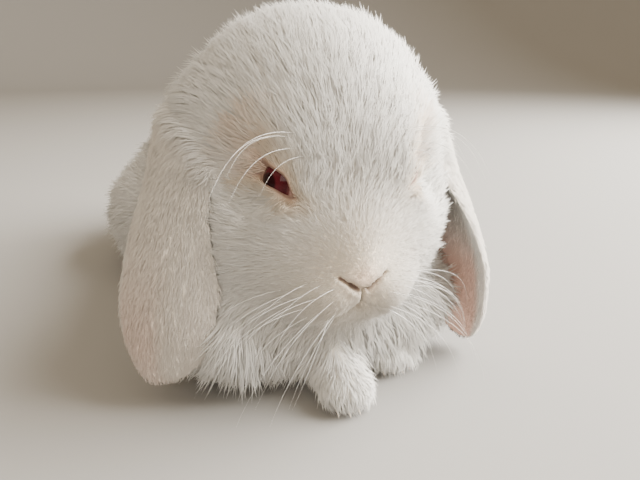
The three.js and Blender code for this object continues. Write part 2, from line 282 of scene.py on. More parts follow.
def eye_frame(side):
    """The eye's axis, the direction of its front corner, and the direction of its brow."""
    turn = SIDES[side]
    axis = unit(LEFT * EYE_OUT * turn + FORWARD * EYE_AHEAD + UP * EYE_UP)
    corner = FORWARD * CORNER_AHEAD - UP * CORNER_DOWN - LEFT * CORNER_IN * turn
    corner = unit(tangent(corner, axis))
    brow = np.cross(axis, corner) * -turn
    return axis, corner, brow


# -------- the coat, region by region

# Depth is from the skin to the coat's outline, length and width are a lock's, in mm, and density
# is in locks to a square mm. Root and tip are how steeply a lock leaves the skin and how steeply it
# ends, in degrees.
MEASURES = ["depth", "length", "width", "density", "root", "tip"]
COAT = {
    "trunk": (7, 15, 0.48, 1.10, 48, 12),
    "thigh": (7, 14, 0.46, 1.15, 48, 12),
    "neck": (6.5, 13, 0.40, 1.9, 44, 12),
    "tail": (5, 12, 0.44, 1.8, 55, 30),
    "foreleg": (3.2, 6.0, 0.34, 2.4, 36, 6),
    "hind_foot": (2.4, 4.6, 0.34, 2.2, 32, 6),
    "ear": (0.35, 4.4, 0.36, 1.95, 30, 12),
    "head": (6, 12, 0.34, 2.2, 44, 13),
    "nose": (0.2, 0.9, 0.20, 7.0, 30, 8),
    "eye": (0.3, 1.8, 0.24, 4.0, 30, 8),
}
REGIONS = list(COAT)
EAR = REGIONS.index("ear")
HEAD_REGIONS = [REGIONS.index(region) for region in ("head", "nose", "eye")]
# The head's coat grows longer with the distance from the nose, in mm.
FACE = {
    "depth": [(6, 0.3), (11, 0.9), (18, 1.8), (30, 3.2), (45, 5.0), (70, 6.5)],
    "length": [(5, 0.9), (10, 1.9), (18, 3.8), (30, 6.5), (45, 8.5), (70, 10.0)],
    "width": [(5, 0.20), (18, 0.26), (45, 0.32), (70, 0.36)],
    "density": [(5, 8.0), (14, 5.6), (26, 3.5), (45, 2.6), (70, 2.2)],
    "root": [(5, 28), (18, 33), (45, 42), (70, 44)],
    "tip": [(5, 8), (30, 10), (70, 12)],
}
# How far each ear's furry face turns forward from the side, in degrees, at its root and its tip.
EAR_FACING = {"left": (30, -10), "right": (30, 44)}
EAR_ROOT_REACH = 15


def region_of(node):
    return node.replace("_left", "").replace("_right", "")


def measure(key):
    """One of the coat's measures, for each region."""
    return np.array([COAT[region][MEASURES.index(key)] for region in REGIONS], float)


def coat_field(net, share, key):
    """One of the coat's measures at every point of the skin, blended between the regions."""
    face = by(FACE[key], np.linalg.norm(net.points - NOSE, axis=1))
    on_head = share[:, HEAD_REGIONS].sum(axis=1)
    return share @ measure(key) * (1 - on_head) + face * on_head


def eye_distance(points):
    return np.min([np.linalg.norm(points - EYE[s], axis=1) for s in SIDES], axis=0)


def ear_outward(points, side):
    """The way that an ear's furry face looks, which turns from its root to its tip."""
    low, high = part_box("ear_" + side)
    down = 1 - np.clip((points[:, 2] * MM - low.z) / (high.z - low.z), 0, 1)
    start, end = EAR_FACING[side]
    angle = np.radians(start + (end - start) * down)
    across = LEFT * SIDES[side]
    return across * np.cos(angle)[:, None] + FORWARD * np.sin(angle)[:, None]


def ear_root_share(points):
    """1 where an ear leaves the head, falling to 0 round it."""
    side, forward, height = EAR_STALK[1]
    roots = [head_place(turn * side, forward, height) for turn in SIDES.values()]
    gaps = [np.linalg.norm(points - root, axis=1) for root in roots]
    return bell(np.min(gaps, axis=0), EAR_ROOT_REACH)


def ear_inside(net, share):
    """1 on the bare inner face of the ears, 0 on the furry one and off the ears."""
    side = np.where(net.points @ LEFT > BETWEEN_EYES @ LEFT, 1, -1)
    outward = np.where(
        (side > 0)[:, None], ear_outward(net.points, "left"), ear_outward(net.points, "right")
    )
    return step(-dot(net.normals, outward), 0.0, 0.5) * share[:, EAR]


# -------- the skin

# The grid's spacing in mm, its margin, the wide band of distances and the coarser grid's spacing
# in grid points.
VOXEL, MARGIN, BAND, COARSE = 1.25, 6, 11, 3
# The solids are grown by this, in mm, so that the cuts between them close.
SWELL = 0.45
OUTLINE_BAND, OUTLINE_ROUNDS, SKIN_ROUNDS = 3, 16, 12
# Where the coat thins, near some places: its depth there, the gain with each mm, from where on.
EYE_SEAT = (0.6, 0.32, 9.5)
FOOT_SEAT = (2.4, 0.28, 2)
EAR_SEAT = (1.2, 0.35, 3)
FLOOR_SEAT = (3.0, 0.3, 0)
# How widely, in mm, the skin is rounded where the ears' stalks, their tops and the lids join it.
EAR_WELD, EAR_TOP_WELD, LID_WELD = 3.0, 5.0, 2.5
EAR_TOP, EAR_TOP_BAND = (60, 82), 6
# Rounds of smoothing after each time that an ear's net is cut finer.
EAR_ROUNDS = (3, 6)
EAR_STALK, EAR_STALK_RADIUS = [(13, -35, 9), (30, -34, 13)], 5.0
# How near to the eyes and to the nose, in mm, the net is cut finer, one time after the other.
FINER = [(14, 14), (12, 10.5)]
EYE_SMOOTHING, REGION_BLUR = (15, 9), 20
# The opening between the lids, in mm over the ball: towards the front corner, and to the brow.
LID_MIDDLE = (0.65, 0.4)
LID_HALF = (7.65, 2.8)
LID_SLOPE = 0.235
LID_ARCH, LID_ARCH_PLACE, LID_ARCH_WIDTH = 2.4, 2.2, 4.8
LID_TAPER = 0.45
LID_BACK = {"left": 1.8, "right": 0.0}
# The lids' thickness and the upper one's extra, how far the skin sinks inside their edge, and the
# places where that edge rises, where the lids fade out, and where a crease runs: depth, place, width.
LID_THICKNESS, UPPER_LID, LID_SUNK = 0.75, 0.35, 1.1
LID_EDGE, LID_FADE, LID_CREASE = (0.84, 1.02), (1.05, 1.5), (0.45, 1.62, 0.2)
LID_REACH = 2.2
# Mm to the side of and above the middle of the nose: start, end, width, depth of each groove.
NOSTRIL = [((7.4, 0.6), (1.3, -3.9), 0.55, 1.3), ((4.2, -1.7), (1.5, -4.0), 0.85, 1.5)]
# The whisker pads: mm to the side and above the nose, their reach, and how far they stand out.
PAD = (8.0, -8.0, 6.0, 1.7)
PAD_FRONT, MUZZLE_FRONT = (-16, -4), (-9, -3)
# The philtrum's top and bottom, the mouth's corner, each groove's width and depth, and the cleft's
# painted shade.
PHILTRUM, CLEFT, CLEFT_SHADE = (-3.6, -9.8), (0.6, 2.2), 0.34
MOUTH_CORNER, MOUTH = (8.0, -13.8), (1.1, 1.7)


def flesh_surface(names, swell):
    """Some solids' surfaces as one soup of triangles, with each triangle's region."""
    points, faces, regions, count = [], [], [], 0
    for name in names:
        p, n, f = node_surface(name)
        points.append(p + n * swell)
        faces.append(f + count)
        regions.append(np.full(len(f), REGIONS.index(region_of(name))))
        count += len(p)
    return np.concatenate(points), np.concatenate(faces), np.concatenate(regions)


class Field:
    """An even grid of points that holds the whole animal, and what is worked out on it."""

    def __init__(self):
        low, high = (np.array(corner) / MM for corner in cad_box)
        self.start = np.floor(low / VOXEL).astype(int) - MARGIN
        self.size = np.ceil(high / VOXEL).astype(int) + MARGIN - self.start
        self.transform = openvdb.createLinearTransform(voxelSize=VOXEL)

    def distance(self, points, faces, band):
        """Signed distance to a closed surface, in mm, kept within band voxels."""
        grid = openvdb.FloatGrid.createLevelSetFromPolygons(
            points.astype(np.float32),
            triangles=faces.astype(np.uint32),
            transform=self.transform,
            halfWidth=float(band),
        )
        values = np.zeros(tuple(self.size), np.float32)
        grid.copyToArray(values, ijk=tuple(int(i) for i in self.start))
        return values

    def surface(self, values):
        """Points and triangles where the values pass through 0."""
        grid = openvdb.FloatGrid(float(values.max()))
        grid.copyFromArray(values.astype(np.float32), ijk=tuple(int(i) for i in self.start))
        grid.transform = self.transform
        points, quads = grid.convertToQuads(0.0)
        return points.astype(float), halves(quads.astype(int))

    def places(self, middle=(0, 0, 0)):
        """The grid points' coordinates, in mm from a middle."""
        axes = [(self.start[k] + np.arange(self.size[k])) * VOXEL - middle[k] for k in range(3)]
        return np.meshgrid(*[axis.astype(np.float32) for axis in axes], indexing="ij")

    def coarse_places(self):
        """Every few grid points, in mm, and the shape of that coarser grid."""
        axes = [
            (self.start[k] + np.arange(0, self.size[k] + COARSE, COARSE)) * VOXEL for k in range(3)
        ]
        grid = np.stack(np.meshgrid(*axes, indexing="ij"), axis=-1)
        return grid.reshape(-1, 3), grid.shape[:3]

    def fill_in(self, coarse):
        """The coarser grid's values brought to every grid point."""
        for axis in range(3):
            at = np.arange(self.size[axis]) / COARSE
            low = np.minimum(at.astype(int), coarse.shape[axis] - 2)
            part = (at - low).reshape([-1 if k == axis else 1 for k in range(3)])
            below, above = np.take(coarse, low, axis), np.take(coarse, low + 1, axis)
            coarse = below * (1 - part) + above * part
        return coarse


def blur_grid(values, rounds):
    for _ in range(rounds):
        for axis in range(3):
            padded = np.pad(values, [(1, 1) if k == axis else (0, 0) for k in range(3)], "edge")
            size = values.shape[axis]
            low = np.take(padded, range(0, size), axis)
            high = np.take(padded, range(2, size + 2), axis)
            values = 0.5 * values + 0.25 * (low + high)
    return values


def nodes_named(*regions):
    return [name for name in FLESH + EYES if region_of(name) in regions]


# All but the ears, which have a net of their own.
BODY = [name for name in FLESH + EYES if region_of(name) != "ear"]


def nearest(names, places):
    """The region of the solid that is nearest to each place, and how far away it is."""
    points, faces, regions = flesh_surface(names, 0)
    tree = face_tree(points, faces)
    found = [tree.find_nearest(Vector(p)) for p in places]
    return regions[[hit[2] for hit in found]], np.array([hit[3] for hit in found])


def seat(rule, gap):
    """How deep the coat may be at some distance from a place where it thins."""
    depth, gain, start = rule
    return depth + gain * np.maximum(gap - start, 0)


def coat_depth(places):
    """How far the skin lies below the coat's outline at some places near the body."""
    label, _ = nearest(BODY, places)
    face = by(FACE["depth"], np.linalg.norm(places - NOSE, axis=1))
    limits = [
        np.where(np.isin(label, HEAD_REGIONS), face, measure("depth")[label]),
        seat(EYE_SEAT, eye_distance(places)),
        seat(FOOT_SEAT, nearest(nodes_named("foreleg", "hind_foot"), places)[1]),
        seat(EAR_SEAT, nearest(nodes_named("ear"), places)[1]),
        seat(FLOOR_SEAT, places[:, 2]),
    ]
    return np.min(limits, axis=0)


def sunk_body(field):
    """Distance to the body's skin, below the outline of the coat by the coat's depth."""
    outline = field.distance(*flesh_surface(BODY, SWELL)[:2], OUTLINE_BAND)
    union = Net(*field.surface(outline))
    union.fair(OUTLINE_ROUNDS, np.ones(len(union.points)))
    outline = field.distance(union.points, union.faces, BAND)
    places, shape = field.coarse_places()
    depth = coat_depth(places).reshape(shape)
    return blur_grid(outline + field.fill_in(blur_grid(depth, 1)), 2)


def ear_root(field, side):
    """Distance to a thick stalk that joins an ear to the sunken skin of the head."""
    inner, outer = (head_place(SIDES[side] * x, y, z) for x, y, z in EAR_STALK)
    x, y, z = field.places()
    along = outer - inner
    t = (x - inner[0]) * along[0] + (y - inner[1]) * along[1] + (z - inner[2]) * along[2]
    t = np.clip(t / (along @ along), 0, 1)
    gaps = [axis - inner[k] - t * along[k] for k, axis in enumerate((x, y, z))]
    return np.sqrt(gaps[0] ** 2 + gaps[1] ** 2 + gaps[2] ** 2) - EAR_STALK_RADIUS


def smooth_union(a, b, width):
    """The nearer of two distances, rounded where they meet."""
    mix = np.clip(0.5 + 0.5 * (b - a) / width, 0, 1)
    return b * (1 - mix) + a * mix - width * mix * (1 - mix)


def ball(field, middle, radius):
    """Distance to a ball."""
    x, y, z = field.places(middle)
    return np.sqrt(x * x + y * y + z * z) - radius


def even_net():
    """The skin of all but the ears, before its details, as an even net."""
    field = Field()
    values = sunk_body(field)
    for side in SIDES:
        values = smooth_union(values, ear_root(field, side), EAR_WELD)
        lids = ball(field, EYE[side], EYE_RADIUS + LID_THICKNESS)
        values = smooth_union(values, lids, LID_WELD)
    ears = flesh_surface(nodes_named("ear"), 0)
    height = (field.start[2] + np.arange(field.size[2])) * VOXEL
    tops = field.distance(ears[0], ears[1], EAR_TOP_BAND)
    tops = tops + EAR_TOP_BAND * (1 - step(height, *EAR_TOP))
    values = smooth_union(values, tops, EAR_TOP_WELD)
    net = Net(*field.surface(values))
    net.fair(SKIN_ROUNDS, np.ones(len(net.points)))
    return net


def ear_net(side):
    """An ear's skin: the solid's own net, cut finer and smoothed, and drawn in a little."""
    points, normals, faces = node_surface("ear_" + side)
    net = Net(points - normals * measure("depth")[EAR], faces)
    for rounds in EAR_ROUNDS:
        net = refine(net, np.ones(len(net.points), bool))
        net.fair(rounds, np.ones(len(net.points)))
    return net


def joined(nets):
    starts = np.cumsum([0] + [len(net.points) for net in nets])
    faces = [net.faces + start for net, start in zip(nets, starts)]
    return Net(np.concatenate([net.points for net in nets]), np.concatenate(faces))


def refine(net, near):
    """Cuts each triangle whose points are all near the place of interest in four."""
    bm = bmesh.new()
    mesh = make_mesh("coarse", net.points, net.faces)
    bm.from_mesh(mesh)
    bpy.data.meshes.remove(mesh)
    edges = [e for e in bm.edges if near[e.verts[0].index] and near[e.verts[1].index]]
    bmesh.ops.subdivide_edges(bm, edges=edges, cuts=1, use_grid_fill=True)
    bmesh.ops.triangulate(bm, faces=[f for f in bm.faces if len(f.verts) > 3])
    bm.verts.index_update()
    points = np.array([v.co for v in bm.verts]) / MM
    faces = np.array([[v.index for v in f.verts] for f in bm.faces])
    bm.free()
    return Net(points, faces)


def lid_place(points, side):
    """Each point's place round an eye: 0 at the opening's middle, 1 on the lids' edge, and
    which lid it is on, from -1 on the lower to 1 on the upper."""
    axis, corner, brow = eye_frame(side)
    away = unit(points - EYE[side])
    arc = np.arccos(np.clip(away @ axis, -1, 1)) * EYE_RADIUS
    flat = unit(tangent(away, np.broadcast_to(axis, away.shape)))
    fore = arc * (flat @ corner) + LID_BACK[side]
    x = (fore - LID_MIDDLE[0]) / LID_HALF[0]
    x = x + 1.5 * np.maximum(x - 1, 0)
    middle = LID_MIDDLE[1] + LID_SLOPE * (fore - LID_MIDDLE[0])
    middle = middle + LID_ARCH * bell(fore - LID_ARCH_PLACE, LID_ARCH_WIDTH)
    y = (arc * (flat @ brow) - middle) / LID_HALF[1] / (1 - LID_TAPER * np.clip(x, -1, 1))
    return np.hypot(x, y), np.clip(y, -1, 1), fore, arc * (flat @ brow)


def open_lids(net, side):
    """Shapes the lids, as a rim that stands proud of the ball, and clears the ball between."""
    away = net.points - EYE[side]
    gap = np.linalg.norm(away, axis=1)
    near = (gap < LID_REACH * EYE_RADIUS) & (away @ eye_frame(side)[0] > 0)
    place, lid = lid_place(net.points, side)[:2]
    rim = EYE_RADIUS + LID_THICKNESS + UPPER_LID * step(lid, -0.4, 0.8)
    low = EYE_RADIUS - LID_SUNK
    edge = low + (rim - low) * step(place, *LID_EDGE)
    shift = (edge - gap) * (1 - step(place, *LID_FADE))
    depth, middle, width = LID_CREASE
    crease = depth * bell(place - middle, width) * step(lid, -0.2, 0.5)
    shift = np.where(near, shift - crease, 0)
    net.points = net.points + unit(away) * shift[:, None]


def groove(net, start, end, width, depth):
    """Presses a line into the front of the muzzle. Its ends are mm left of and above the nose."""
    away = net.points - NOSE
    across, forward, height = away @ LEFT, away @ FORWARD, away @ UP
    line = np.array(end, float) - start
    t = ((across - start[0]) * line[0] + (height - start[1]) * line[1]) / (line @ line)
    t = np.clip(t, 0, 1)
    gap = np.hypot(across - start[0] - t * line[0], height - start[1] - t * line[1])
    press = depth * bell(gap, width) * step(forward, *MUZZLE_FRONT)
    net.points = net.points - net.normals * press[:, None]
    return press / depth


def swell_pads(net):
    """Rounds out the two whisker pads, on either side of the philtrum."""
    away = net.points - NOSE
    across, height = np.abs(away @ LEFT), away @ UP
    front = step(away @ FORWARD, *PAD_FRONT)
    pad = bell(np.hypot(across - PAD[0], height - PAD[1]), PAD[2])
    net.points = net.points + net.normals * (PAD[3] * pad * front)[:, None]
    net.update()


def shape_nose(net):
    """Nostrils, philtrum and mouth, and how deep each point lies in them, from 0 to 1, by which
    markings() paints shade.
    """
    pressed = np.zeros(len(net.points))
    for turn in SIDES.values():
        for start, end, width, depth in NOSTRIL:
            ends = (turn * start[0], start[1]), (turn * end[0], end[1])
            pressed = np.maximum(pressed, groove(net, *ends, width, depth))
        ends = (0, PHILTRUM[1]), (turn * MOUTH_CORNER[0], MOUTH_CORNER[1])
        groove(net, *ends, *MOUTH)
    cleft = groove(net, (0, PHILTRUM[0]), (0, PHILTRUM[1]), *CLEFT)
    return np.maximum(pressed, CLEFT_SHADE * cleft)


def make_skin_net():
    """The skin's net, each point's share of the regions, and how deep it is in a nostril."""
    net = even_net()
    for near_eyes, near_nose in FINER:
        to_nose = np.linalg.norm(net.points - NOSE, axis=1)
        net = refine(net, (eye_distance(net.points) < near_eyes) | (to_nose < near_nose))
    for side in SIDES:
        open_lids(net, side)
    net.update()
    swell_pads(net)
    pressed = shape_nose(net)
    net.fair(2, step(eye_distance(net.points), *EYE_SMOOTHING))
    body_count = len(net.points)
    net = joined([net] + [ear_net(side) for side in SIDES])
    pressed = np.concatenate([pressed, np.zeros(len(net.points) - body_count)])
    label, _ = nearest(FLESH + EYES, net.points)
    return net, net.blur(np.eye(len(REGIONS))[label], REGION_BLUR), pressed


# How strongly the lie follows the ears' roots, and turns away from the eyes within some mm.
EAR_ROOT_PULL, EYE_PULL, EYE_PULL_REACH = 2.0, 2.6, 4.5
LIE_ROUNDS = 12


def lie_of_coat(net, share):
    """The unit direction in which the coat lies along the skin, at each point."""
    p = net.points
    side = np.where(p @ LEFT > BETWEEN_EYES @ LEFT, 1.0, -1.0)[:, None]
    back = np.array([0, 1, 0.0])
    lie = np.zeros_like(p)
    rules = {
        "trunk": back - UP * 0.5,
        "thigh": back - UP * 0.7,
        "neck": back * 0.7 - UP * 0.8,
        "tail": back * 0.4 + UP,
        "foreleg": -UP - back * 0.5,
        "hind_foot": -back - UP * 0.3,
        "ear": LEFT * side * 0.9 * step(p[:, 2:], 78, 96) - UP,
        "head": unit(p - NOSE - UP * 2) + back * 0.25,
        "nose": unit(p - NOSE + FORWARD * 4),
        "eye": unit(p - NOSE),
    }
    for k, region in enumerate(REGIONS):
        lie = lie + unit(rules[region]) * share[:, k : k + 1]
    outward = LEFT * side * 0.55 - UP + FORWARD * 0.1
    lie = lie + outward * EAR_ROOT_PULL * ear_root_share(p)[:, None]
    for eye in EYE.values():
        away = p - eye
        gap = np.linalg.norm(away, axis=1, keepdims=True)
        lie = lie + unit(away) * EYE_PULL * bell(gap - EYE_RADIUS, EYE_PULL_REACH)
    lie = unit(tangent(lie, net.normals))
    for _ in range(LIE_ROUNDS):
        lie = unit(tangent(net.blur(lie, 2), net.normals))
    return lie


# -------- markings

# Heights in mm between which the pink inside the ears fades, and of the pink band outside.
EAR_PINK_TOP, THIN_EAR, THIN_EAR_REACH = (32, 58), 26, 24
RIM_BANDS, RIM_EDGE = 12, (0.45, 0.8)
# Painted shade in the hollow behind each eye: mm back and up from it, half its length and height, and
# its reach.
HOLLOW_BACK, HOLLOW_UP, HOLLOW_HALF, HOLLOW_REACH = 12, 2, (8, 5), 22
# How far from the eyes, in mm, the lids' pink and the painted shade round the eyes reach.
LID_PINK_AND_SHADE_REACH = 16
# The bare pad of the nose: mm above its middle, half its width and height, and where it starts.
NOSE_UP, NOSE_HALF, NOSE_START = 0.8, (8.5, 5.0), (18, 22)
# How far from the nose, in mm, the muzzle's beige reaches: partly its own cream, partly painted
# shade.
MUZZLE_REACH = 21


def ear_rim(net, share):
    """1 along the edges of the ears, 0 in the middle of their blades."""
    rim = np.zeros(len(net.points))
    on_ear = share[:, EAR] > 0.5
    for turn in SIDES.values():
        chosen = np.flatnonzero(on_ear & ((net.points - BETWEEN_EYES) @ LEFT * turn > 0))
        height, forward = net.points[chosen, 2], net.points[chosen] @ FORWARD
        edges = np.linspace(height.min(), height.max(), RIM_BANDS + 1)
        band = np.clip(np.digitize(height, edges) - 1, 0, RIM_BANDS - 1)
        back = [forward[band == k].min() for k in range(RIM_BANDS)]
        front = [forward[band == k].max() for k in range(RIM_BANDS)]
        centres = (edges[1:] + edges[:-1]) / 2
        back, front = np.interp(height, centres, back), np.interp(height, centres, front)
        place = (forward - (back + front) / 2) / np.maximum((front - back) / 2, 1)
        rim[chosen] = step(np.abs(place), *RIM_EDGE)
    return rim


def eye_hollow_shade(net):
    """Painted shade in the hollows behind the eyes: 1 in their middle, falling to 0 round them."""
    hollow_shade = np.zeros(len(net.points))
    for side in SIDES:
        _, _, fore, rise = lid_place(net.points, side)
        gap = np.linalg.norm(net.points - EYE[side], axis=1)
        along, over = (fore + HOLLOW_BACK) / HOLLOW_HALF[0], (rise - HOLLOW_UP) / HOLLOW_HALF[1]
        hollow_shade = np.maximum(hollow_shade, bell(np.hypot(along, over), 1) * (gap < HOLLOW_REACH))
    return hollow_shade


def markings(net, share, pressed):
    """Pink skin, beige partly the muzzle's own and partly painted shade, and painted shade in the
    nostrils, round the eyes and on the ears, from 0 to 1 at each point.
    """
    inside, hollow_shade = ear_inside(net, share), eye_hollow_shade(net)
    ear, height = share[:, EAR], net.points[:, 2]
    low = 1 - step(height, *EAR_PINK_TOP)
    thin = bell(height - THIN_EAR, THIN_EAR_REACH)
    blade = 1 - 0.85 * ear_rim(net, share)
    pink = (0.85 * inside * (0.12 + 0.88 * low) + 0.34 * ear * thin * (1 - inside)) * blade
    lids = np.min([lid_place(net.points, side)[0] for side in SIDES], axis=0)
    near = eye_distance(net.points) < LID_PINK_AND_SHADE_REACH

    # Bands round the eyes' openings: the lids' own pink, and painted shade round and along the lids.
    def lid_band(place, width):
        return np.where(near, bell(lids - place, width), 0)

    away = net.points - NOSE
    pad = bell(np.hypot(away @ LEFT / NOSE_HALF[0], (away @ UP - NOSE_UP) / NOSE_HALF[1]), 1)
    pad = pad * step((net.points - BETWEEN_EYES) @ FORWARD, *NOSE_START)
    # Pink of the ears, the lids' rims and the nose pad, and a pinkish part of the painted shade
    # behind the eyes.
    pink = np.max([pink, 0.2 * hollow_shade, 0.3 * lid_band(1.0, 0.25), 0.5 * pad], axis=0)
    # Beige on the muzzle, partly its own cream and partly painted shade, and painted shade round the
    # eyes.
    beige = 0.8 * bell(np.linalg.norm(away, axis=1), MUZZLE_REACH) + lid_band(1.2, 1.0)
    # More painted shade: in the hollows behind the eyes, and warm on the ears' furry faces.
    beige = beige + 0.95 * hollow_shade + 0.4 * ear * (1 - inside)
    # Painted shade in the nostrils, the philtrum's cleft and along the lids' edges.
    painted_shade = np.max([pressed, 0.9 * lid_band(1.0, 0.2), 0.5 * lid_band(1.0, 0.8)], axis=0)
    return np.stack([pink, np.clip(beige, 0, 1), painted_shade], axis=1)


# -------- locks of fur

# Where a lock's rings of three points stand, from root to tip, and how wide it is there.
RINGS = np.array([0.0, 0.5])
GIRTH = np.array([0.85, 0.95])
LOCK_TURNS = np.radians([90, 210, 330])
LINE_STEPS, BEND, DRAW_BEND = 12, 1.7, 1.5
# How far a lock's root is sunk in the skin, and how low locks may reach over the floor, in mm.
ROOT_SUNK, SUNK_LENGTH, FLOOR_GAP, FLOOR_SOFTNESS = 0.25, 8, 0.8, 4
# How much a lock's own round shape shows in its shading, and its patch of the map.
OWN_SHADE, UV_PATCH = 0.28, 0.003
# Locks shorter than this, in mm, are in pieces of short fur.
SHORT_LOCK = 12.5
PIECE_TRIANGLES = 196000
# Clumps: their reach in mm and their crowding, by the length of their locks, then how much whole
# clumps and single locks vary in swing and lift, in degrees, in size, and in shade.
CLUMP_REACH = [(2, 1.1), (8, 2.0), (16, 3.0)]
CROWDING = [(1, 4), (4, 2.4), (8, 1.8), (16, 0.7)]
CLUMP_SWING, OWN_SWING, CLUMP_LIFT, OWN_LIFT = 10, 9, 5, 4
CLUMP_SIZE, OWN_SIZE = (0.86, 1.12), (0.78, 1.12)
CLUMP_TONE, OWN_TONE = 0.6, 0.4
DRAW_LENGTH, DRAW_LIMITS = 16, (0.12, 0.45)
RISE_LIMITS = (0.1, 1.4)


def lock_faces():
    """The triangles of one lock: a cap at its root, three sides, and its tip."""
    rings = len(RINGS)
    sides = ring_quads(rings, 3)[:, [[0, 1, 2], [0, 2, 3]]].reshape(-1, 3)
    tip = fan(rings * 3, np.arange(3) + (rings - 1) * 3)[:, [1, 2, 0]]
    return np.vstack([[(2, 1, 0)], sides, tip])[:, ::-1]


def turned(v, n, angle):
    """v turned about the unit normals n."""
    return v * np.cos(angle)[:, None] + np.cross(n, v) * np.sin(angle)[:, None]


class Roots:
    """Where every lock grows, with the skin's fields read at its root."""

    def __init__(self, net, fields):
        weight = net.areas * fields["density"][net.faces].mean(axis=1)
        edges = np.cumsum(weight)
        count = int(edges[-1])
        picks = (np.arange(count) + random.random(count)) * edges[-1] / count
        face = np.minimum(np.searchsorted(edges, picks), len(edges) - 1)
        a, b = np.sqrt(random.random(count)), random.random(count)
        part = np.stack([1 - a, a * (1 - b), a * b], axis=1)[:, :, None]
        corners = net.faces[face]

        def read(values):
            flat = values.reshape(len(values), -1)
            found = (flat[corners] * part).sum(axis=1)
            return found if values.ndim > 1 else found[:, 0]

        self.place = read(net.points)
        self.normal = unit(read(net.normals))
        self.lie = unit(tangent(read(fields["lie"]), self.normal))
        self.marks = read(fields["marks"])
        self.share = read(fields["share"])
        self.length, self.width = read(fields["length"]), read(fields["width"])
        self.rise, self.end = np.radians(read(fields["root"])), np.radians(read(fields["tip"]))
        self.count = count

    def pick(self, chosen):
        part = object.__new__(Roots)
        part.count = int(chosen.sum()) if chosen.dtype == bool else len(chosen)
        for key, value in vars(self).items():
            if isinstance(value, np.ndarray):
                setattr(part, key, value[chosen])
        return part


def clumped(roots):
    """Gives each lock the swing of its clump, and the shift that draws its tip to the clump's."""
    chance = 1 / np.maximum(by(CROWDING, roots.length) * by(CLUMP_REACH, roots.length) ** 2, 1)
    leaders = np.flatnonzero(random.random(roots.count) < chance)
    tree = point_tree(roots.place[leaders])
    clump = np.array([tree.find(Vector(p))[1] for p in roots.place])
    swing = np.radians(random.normal(0, CLUMP_SWING, len(leaders)))[clump]
    own = np.radians(random.normal(0, OWN_SWING, roots.count))
    roots.lie = turned(roots.lie, roots.normal, swing + own)
    even = roots.share[:, EAR]
    lift = np.radians(random.normal(0, CLUMP_LIFT, len(leaders)))[clump] * (1 - 0.8 * even)
    own = np.radians(random.normal(0, OWN_LIFT, roots.count))
    roots.rise = np.clip(roots.rise + lift + own, *RISE_LIMITS)
    roots.end = roots.end + lift
    size = random.uniform(*CLUMP_SIZE, len(leaders))[clump]
    roots.length = roots.length * size * random.uniform(*OWN_SIZE, roots.count)
    tone = CLUMP_TONE * random.uniform(0, 1, len(leaders))[clump]
    roots.shade = (tone + OWN_TONE * random.uniform(0, 1, roots.count)) * (1 - 0.9 * even)
    draw = np.clip(roots.length / DRAW_LENGTH, *DRAW_LIMITS) * (1 - 0.85 * even)
    roots.draw = (roots.place[leaders][clump] - roots.place) * draw[:, None]
    return roots


def centre_line(roots, stations):
    """The points of each lock's middle line, at the stations from its root to its tip."""
    fine = np.linspace(0, 1, LINE_STEPS + 1)
    middle = (fine[1:] + fine[:-1]) / 2
    bend = 1 - (1 - middle) ** BEND
    angle = roots.rise[:, None] + (roots.end - roots.rise)[:, None] * bend
    stride = roots.length[:, None] / len(middle)
    start = np.zeros((roots.count, 1))
    along = np.hstack([start, np.cumsum(np.cos(angle) * stride, axis=1)])
    up = np.hstack([start, np.cumsum(np.sin(angle) * stride, axis=1)])
    at = np.searchsorted(fine, stations)
    sunk = ROOT_SUNK * np.clip(roots.length / SUNK_LENGTH, 0.3, 1)
    lines = roots.place[:, None, :] - (roots.normal * sunk[:, None])[:, None, :]
    lines = lines + roots.lie[:, None, :] * along[:, at, None]
    lines = lines + roots.normal[:, None, :] * up[:, at, None]
    return lines + roots.draw[:, None, :] * (np.array(stations) ** DRAW_BEND)[None, :, None]


def lock_arrays(roots):
    """Points, triangles, marks, map places and normals of a set of locks."""
    line = centre_line(roots, np.round(np.append(RINGS, 1.0) * LINE_STEPS) / LINE_STEPS)
    along = unit(line[:, -1] - line[:, 0])
    across = unit(np.cross(along, roots.normal))
    out = circle(LOCK_TURNS, across[:, None], np.cross(across, along)[:, None])
    half = roots.width[:, None] / 2 * GIRTH
    ring = line[:, :-1, None, :] + out[:, None] * half[:, :, None, None]
    points = np.concatenate([ring.reshape(roots.count, -1, 3), line[:, -1:]], axis=1)
    low = points[:, :, 2]
    low[low < FLOOR_GAP] = FLOOR_GAP * np.exp((low[low < FLOOR_GAP] - FLOOR_GAP) / FLOOR_SOFTNESS)
    each = points.shape[1]
    faces = lock_faces()[None] + (np.arange(roots.count) * each)[:, None, None]
    height = np.append(np.repeat(RINGS, 3), 1.0)
    marks = np.empty((roots.count, each, 4))
    marks[:, :, :3] = np.stack([roots.marks[:, 0], roots.marks[:, 1], roots.shade], 1)[:, None]
    marks[:, :, 3] = height
    aside = np.append(np.tile(np.cos(LOCK_TURNS), len(RINGS)), 0) * 0.5
    places = unwrapped(roots.place)[:, None] + np.stack([aside, height - 0.5], 1) * UV_PATCH
    facing = np.repeat(out[:, None], len(RINGS), axis=1).reshape(roots.count, -1, 3)
    facing = np.concatenate([facing, along[:, None]], axis=1) * OWN_SHADE
    facing = unit(facing + roots.normal[:, None])
    return [values.reshape(-1, values.shape[-1]) for values in (points, faces, marks, places, facing)]


